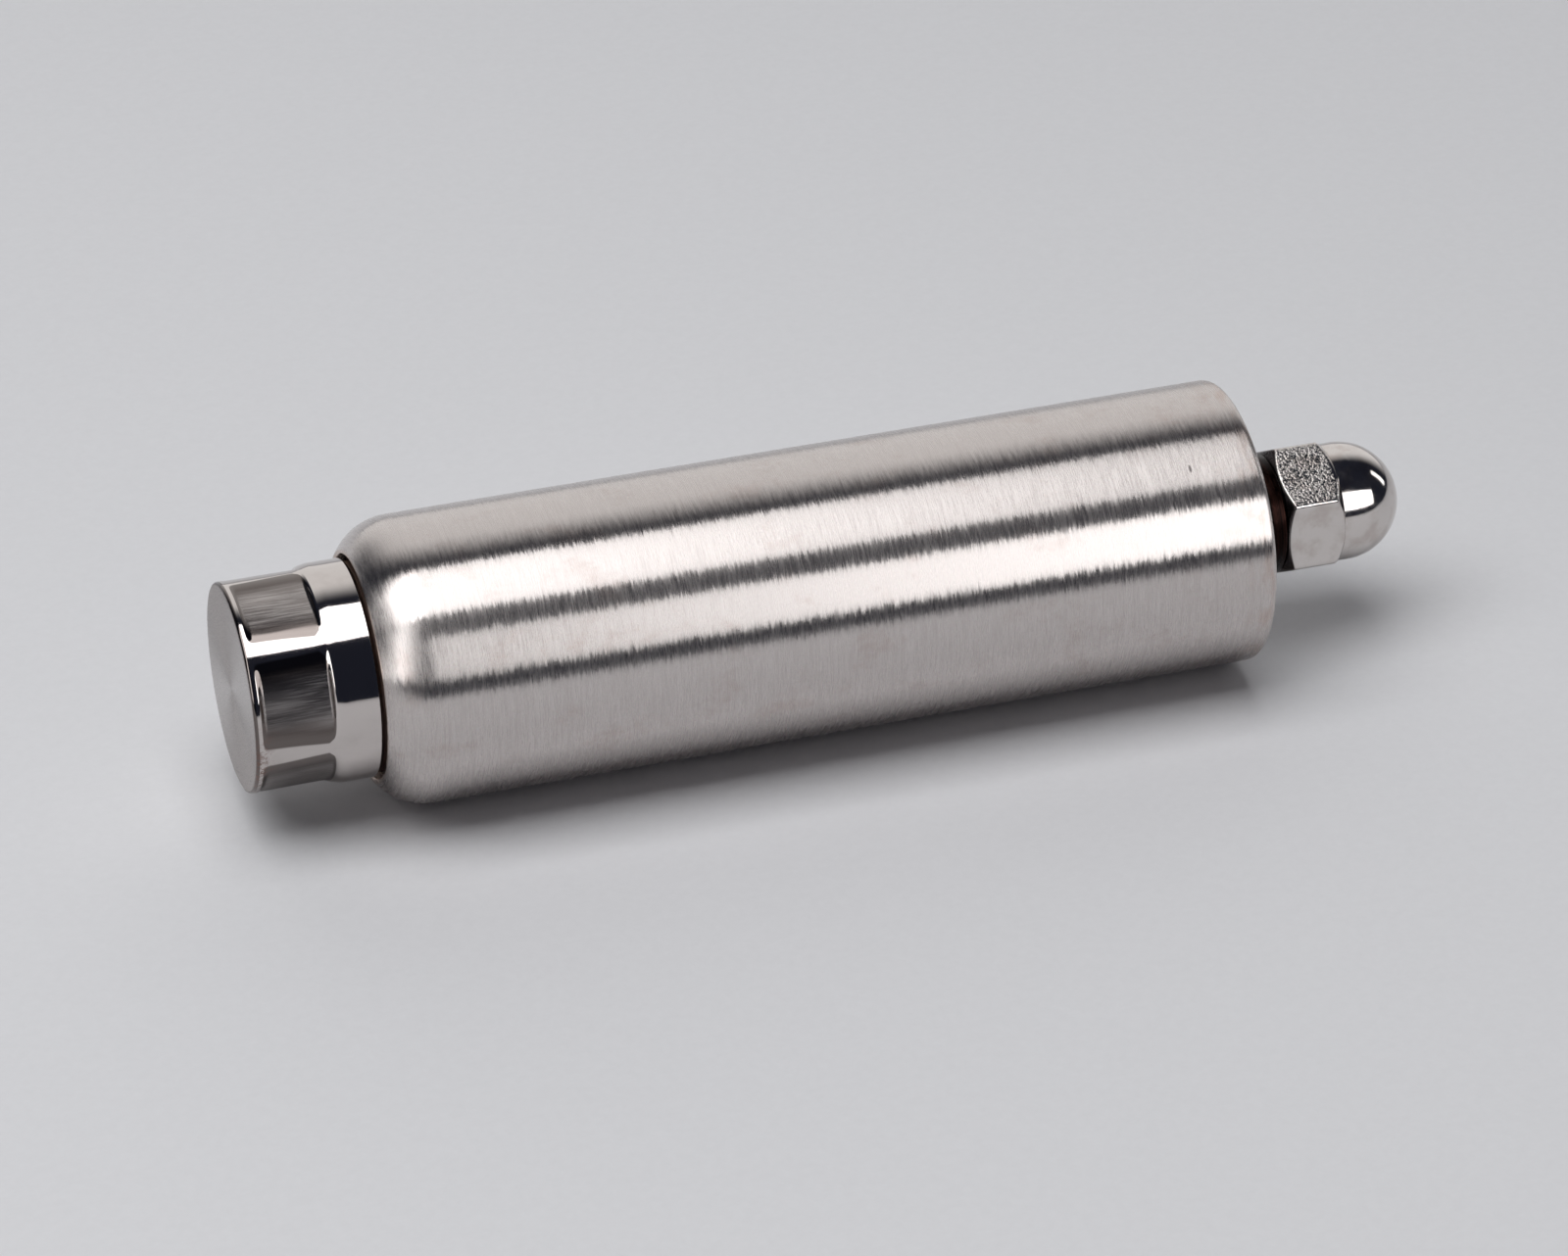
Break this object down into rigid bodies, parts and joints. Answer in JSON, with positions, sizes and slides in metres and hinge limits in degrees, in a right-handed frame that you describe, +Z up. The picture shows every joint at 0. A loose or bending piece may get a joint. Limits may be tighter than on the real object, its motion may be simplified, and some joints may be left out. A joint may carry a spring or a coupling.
{
  "type": "cryptex",
  "caption": "Smooth steel cryptex: a brushed tube with a notched knob that turns hidden tumbler wheels, and a sliding vault with a dome nut as its pull.",
  "frame": {"origin": "middle of the bounding box, on the plane that the sleeve lies on", "axes": "+X along the axis, from the knob to the dome nut; +Z up"},
  "size_m": [0.1268, 0.03, 0.03],
  "materials": {
    "brushed_steel": "brushed round the tube",
    "polished_steel": "polished",
    "polished_nut": "polished dome, plainer flats",
    "dark_washers": "dark, tarnished",
    "plain_steel": "machined",
    "dark_steel": "blackened",
    "spring_steel": "blued",
    "brass": "machined",
    "aluminium": "machined",
    "vault_aluminium": "fine turned",
    "black_rubber": "matt"
  },
  "bodies": {
    "sleeve": {"outer_sleeve": "brushed_steel", "bearing_plate": "aluminium", "spindle_bush": "brass", "click_spring": "spring_steel", "click_spring_screw": "plain_steel", "front_spacer_ring": "aluminium", "spacer_ring_1": "aluminium", "spacer_ring_2": "aluminium", "guide_plate": "aluminium", "retaining_ring": "spring_steel"},
    "knob_group": {"knob": "polished_steel", "spindle": "plain_steel", "knob_cross_pin": "plain_steel", "thrust_washer": "brass", "drive_cam": "plain_steel", "drive_cam_pin": "plain_steel", "drive_cam_screw": "dark_steel"},
    "wheel_1": {"tumbler_wheel_1": "brass", "tumbler_pin_1": "plain_steel"},
    "wheel_2": {"tumbler_wheel_2": "brass", "tumbler_pin_2": "plain_steel"},
    "wheel_3": {"tumbler_wheel_3": "brass", "tumbler_pin_3": "plain_steel"},
    "vault": {"key_bar": "plain_steel", "locking_pins": "plain_steel", "key_bar_dowel": "plain_steel", "key_bar_washer": "plain_steel", "key_bar_nut": "plain_steel", "vault_tube": "vault_aluminium", "end_cap": "vault_aluminium", "end_cap_screws": "dark_steel", "end_cap_o_ring": "black_rubber", "stud": "plain_steel", "stud_lock_nut": "plain_steel", "spacer_washers": "dark_washers", "dome_nut": "polished_nut"}
  },
  "joints": [
    {"name": "knob_turn", "type": "hinge", "parent": "sleeve", "child": "knob_group", "pos_m": [0, 0, 0.015], "axis": [1, 0, 0], "continuous": true, "deforming": ["click_spring"]},
    {"name": "wheel_1_turn", "type": "hinge", "parent": "sleeve", "child": "wheel_1", "pos_m": [0, 0, 0.015], "axis": [1, 0, 0], "continuous": true},
    {"name": "wheel_2_turn", "type": "hinge", "parent": "sleeve", "child": "wheel_2", "pos_m": [0, 0, 0.015], "axis": [1, 0, 0], "continuous": true},
    {"name": "wheel_3_turn", "type": "hinge", "parent": "sleeve", "child": "wheel_3", "pos_m": [0, 0, 0.015], "axis": [1, 0, 0], "continuous": true},
    {"name": "vault_slide", "type": "slide", "parent": "sleeve", "child": "vault", "axis": [1, 0, 0], "range_m": [0, 0.052]}
  ],
  "couplings": [
    {"joint": "wheel_1_turn", "follows": "knob_turn", "ratio": 1},
    {"joint": "wheel_2_turn", "follows": "knob_turn", "ratio": 1},
    {"joint": "wheel_3_turn", "follows": "knob_turn", "ratio": 1}
  ]
}
